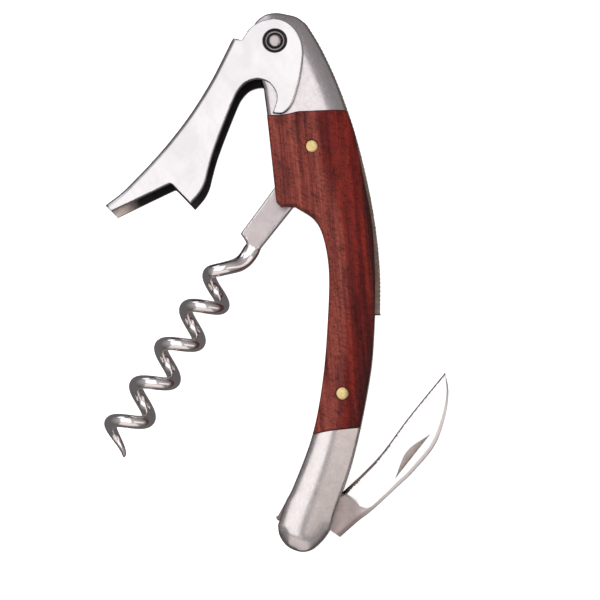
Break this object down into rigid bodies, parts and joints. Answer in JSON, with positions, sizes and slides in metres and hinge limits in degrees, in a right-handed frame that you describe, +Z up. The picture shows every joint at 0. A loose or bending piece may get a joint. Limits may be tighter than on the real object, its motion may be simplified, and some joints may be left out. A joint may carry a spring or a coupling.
{
  "type": "waiters corkscrew",
  "caption": "Folding waiters corkscrew with a wood-faced handle, a hinged boot lever with cap hook, a wire worm on a flat shank and a curved foil blade.",
  "frame": {"origin": "centre of the bounding box at its bottom, the plane the rear wood scale lies on", "axes": "+Y along the handle from tail to nose, +X from the worm side to the blade side, +Z up through the handle's thickness, from the rear scale to the front scale"},
  "size_m": [0.0762, 0.12, 0.0124],
  "materials": {
    "brushed_steel": "satin",
    "polished_steel": "polished",
    "brass": "polished",
    "rosewood": "oiled satin"
  },
  "bodies": {
    "handle": {"liner_front": "brushed_steel", "liner_rear": "brushed_steel", "top_bolster_front": "brushed_steel", "top_bolster_rear": "brushed_steel", "tail_bolster_front": "brushed_steel", "tail_bolster_rear": "brushed_steel", "wood_scale_front": "rosewood", "wood_scale_rear": "rosewood", "nose_block": "brushed_steel", "worm_spring": "brushed_steel", "blade_spring": "brushed_steel", "lever_axle": "polished_steel", "lever_washer_front": "polished_steel", "lever_washer_rear": "polished_steel", "worm_pivot_pin": "brass", "scale_pin": "brass", "blade_pivot_pin": "brushed_steel", "spring_rivet_upper": "brushed_steel", "spring_rivet_lower": "brushed_steel", "liner_rivet": "brushed_steel"},
    "lever": {"lever": "polished_steel"},
    "worm": {"worm": "polished_steel"},
    "blade": {"blade": "polished_steel"}
  },
  "joints": [
    {"name": "lever_pivot", "type": "hinge", "parent": "handle", "child": "lever", "pos_m": [0.00004, 0.05303, 0.0062], "axis": [0, 0, -1], "range_deg": [-26, 104]},
    {"name": "worm_pivot", "type": "hinge", "parent": "handle", "child": "worm", "pos_m": [0.00824, 0.02923, 0.0062], "axis": [0, 0, -1], "range_deg": [-24, 96]},
    {"name": "blade_pivot", "type": "hinge", "parent": "handle", "child": "blade", "pos_m": [0.00674, -0.05347, 0.0062], "axis": [0, 0, -1], "range_deg": [-24, 156]}
  ],
  "couplings": [
    {"joint": "worm_pivot", "follows": "lever_pivot", "ratio": 0.92307}
  ]
}
